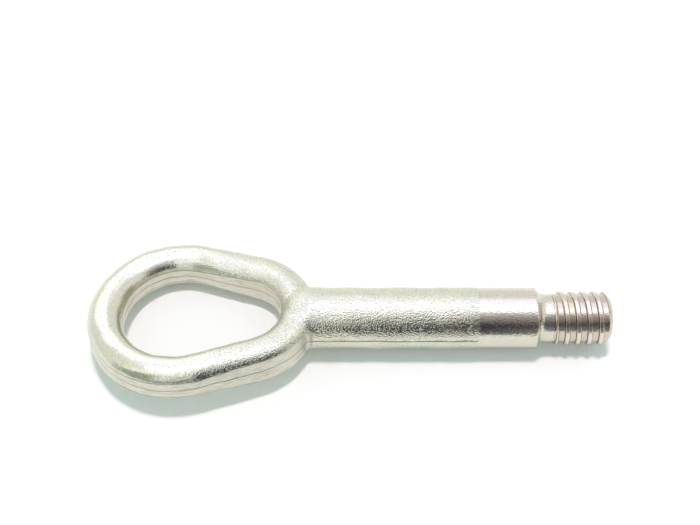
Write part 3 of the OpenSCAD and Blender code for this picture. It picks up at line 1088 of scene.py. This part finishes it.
print("cards", CARD_TOP, "m high,", -CARD_Y, "m in front of the shank")

# %% [markdown]
# ## White cards before the eye
# Each stretch of the part shows the card that stands before it. Before the far
# end of the eye stands one that is white above and greenish grey below, and
# before its near arm a white one with a dark foot. Its right edge slants out
# over the dark card beside it, so that the dark bands on the arm and on the
# shank taper towards the eye. A greenish patch on it is what the inner side of
# the far arm shows.

# %% Cards before the eye
CARDS_LEFT, GAP_LEFT, GAP_RIGHT = -0.4, -0.115, -0.038
PATCH_Y = CARD_Y + 0.002
slant = [(GAP_RIGHT, 0.045), (-0.024, 0.115), (-0.002, 0.21), (0.01, 0.32), (0.012, CARD_TOP)]
ramped_card("left_card", oblong(CARDS_LEFT, GAP_LEFT, 0, CARD_TOP), 1.4, [
    (0.5, (0.27, 0.32, 0.29)), (0.6, (0.95, 0.97, 1.0)),
])
ramped_card("white_gap", [(GAP_LEFT, 0), (GAP_RIGHT, 0), *slant, (GAP_LEFT, CARD_TOP)], 1.35, [
    (0.11, (0.16, 0.18, 0.18)), (0.17, (0.66, 0.7, 0.71)), (0.34, (0.96, 0.97, 1.0)),
])
patch = oblong(-0.08, -0.06, 0.045, 0.17)
glowing("green_patch", [(across, PATCH_Y, up) for across, up in patch], (0.36, 0.42, 0.38, 1), 1.0)
print("white cards end", GAP_RIGHT, "m across")

# %% [markdown]
# ## Dark cards before the shank
# A dark card draws the dark band along the shank, which shows how round and how
# grainy it is. It is darkest a third of the way up and paler towards its top,
# as the band is. Before the turned end it is browner. A dark strip on the table
# carries the band down a little below the cards' foot.

# %% Cards before the shank
DARK_RIGHT, BROWN_RIGHT = 0.078, 0.35
STRIP_NEAR, STRIP_UP = -0.082, 0.001
ramped_card("dark_card", [(GAP_RIGHT, 0), (DARK_RIGHT, 0), (DARK_RIGHT, CARD_TOP), *slant[::-1]], 1.0, [
    (0.0, (0.11, 0.12, 0.12)), (0.16, (0.05, 0.06, 0.07)), (0.25, (0.03, 0.035, 0.045)),
    (0.33, (0.02, 0.025, 0.035)), (0.42, (0.035, 0.045, 0.06)), (0.48, (0.13, 0.14, 0.16)),
    (0.62, (0.32, 0.34, 0.37)), (0.83, (0.75, 0.77, 0.83)),
])
ramped_card("brown_card", oblong(DARK_RIGHT, BROWN_RIGHT, 0, CARD_TOP), 1.0, [
    (0.0, (0.24, 0.25, 0.25)), (0.16, (0.22, 0.23, 0.24)), (0.25, (0.13, 0.13, 0.14)),
    (0.33, (0.085, 0.075, 0.085)), (0.39, (0.13, 0.115, 0.115)), (0.46, (0.28, 0.235, 0.22)),
    (0.62, (0.38, 0.34, 0.33)), (0.83, (0.7, 0.69, 0.74)),
])
strip = oblong(GAP_RIGHT, BROWN_RIGHT, CARD_Y, STRIP_NEAR)
glowing("foot_strip", [(*corner, STRIP_UP) for corner in strip], (0.13, 0.14, 0.14, 1), 1.0)
print("dark cards from", GAP_RIGHT, "to", BROWN_RIGHT, "m across")

# %% [markdown]
# ## Cards round about
# A white card behind the eye lights the inner side of its far arm. A low grey
# card farther off in front gives the lower edges of the bar their thin dark
# line, and one on the right shades the end face of the thread.

# %% Cards behind, far off and at the side
BACK_Y, LOW_Y, SIDE_X = 0.2, -0.9, 0.9
back = oblong(-0.32, -0.06, 0.08, 0.3)
glowing("back_card", [(across, BACK_Y, up) for across, up in back], (0.96, 0.97, 1.1, 1), 1.55)
low = oblong(-1.2, 1.2, 0, 0.16)
glowing("low_card", [(across, LOW_Y, up) for across, up in low], (0.22, 0.23, 0.22, 1), 1.0)
side = oblong(-0.9, 0.5, 0, 0.2)
glowing("side_card", [(SIDE_X, along, up) for along, up in side], (0.25, 0.25, 0.24, 1), 1.0)
print("three more cards")

# %% [markdown]
# ## The camera
# The camera looks down on the part from the front. It is placed by what the
# photograph shows: the row of the shank's axis, the distance that makes the
# shank as thick as it is there, and a focal length that is given in pixels.

# %% Camera
PICTURE = (700, 525)
SHANK_ROW = 318.15       # picture row of the shank's axis
FOCAL_PIXELS = 1080.0
DISTANCE = 391.4         # from the shank's axis, in millimetres
AXIS_X = 0.39            # the camera's place along the shank, in millimetres
VIEW_ANGLE = 47.66       # above the plane of the eye, in degrees
elevation = math.radians(VIEW_ANGLE) + lean
pitch = elevation - math.atan((SHANK_ROW - PICTURE[1] / 2) / FOCAL_PIXELS)
camera_data = bpy.data.cameras.new("camera")
camera_data.sensor_width = 36
camera_data.lens = 36 * FOCAL_PIXELS / PICTURE[0]
camera_data.clip_start = 0.01
camera = bpy.data.objects.new("camera", camera_data)
camera.location = (
    AXIS_X * MM,
    -DISTANCE * math.cos(elevation) * MM,
    (SHANK_R + DISTANCE * math.sin(elevation)) * MM,
)
camera.rotation_euler = (math.pi / 2 - pitch, 0, 0)
bpy.context.collection.objects.link(camera)
bpy.context.scene.camera = camera
bpy.context.scene.view_settings.view_transform = "Standard"
print("camera looks down at", round(math.degrees(pitch), 1), "degrees")
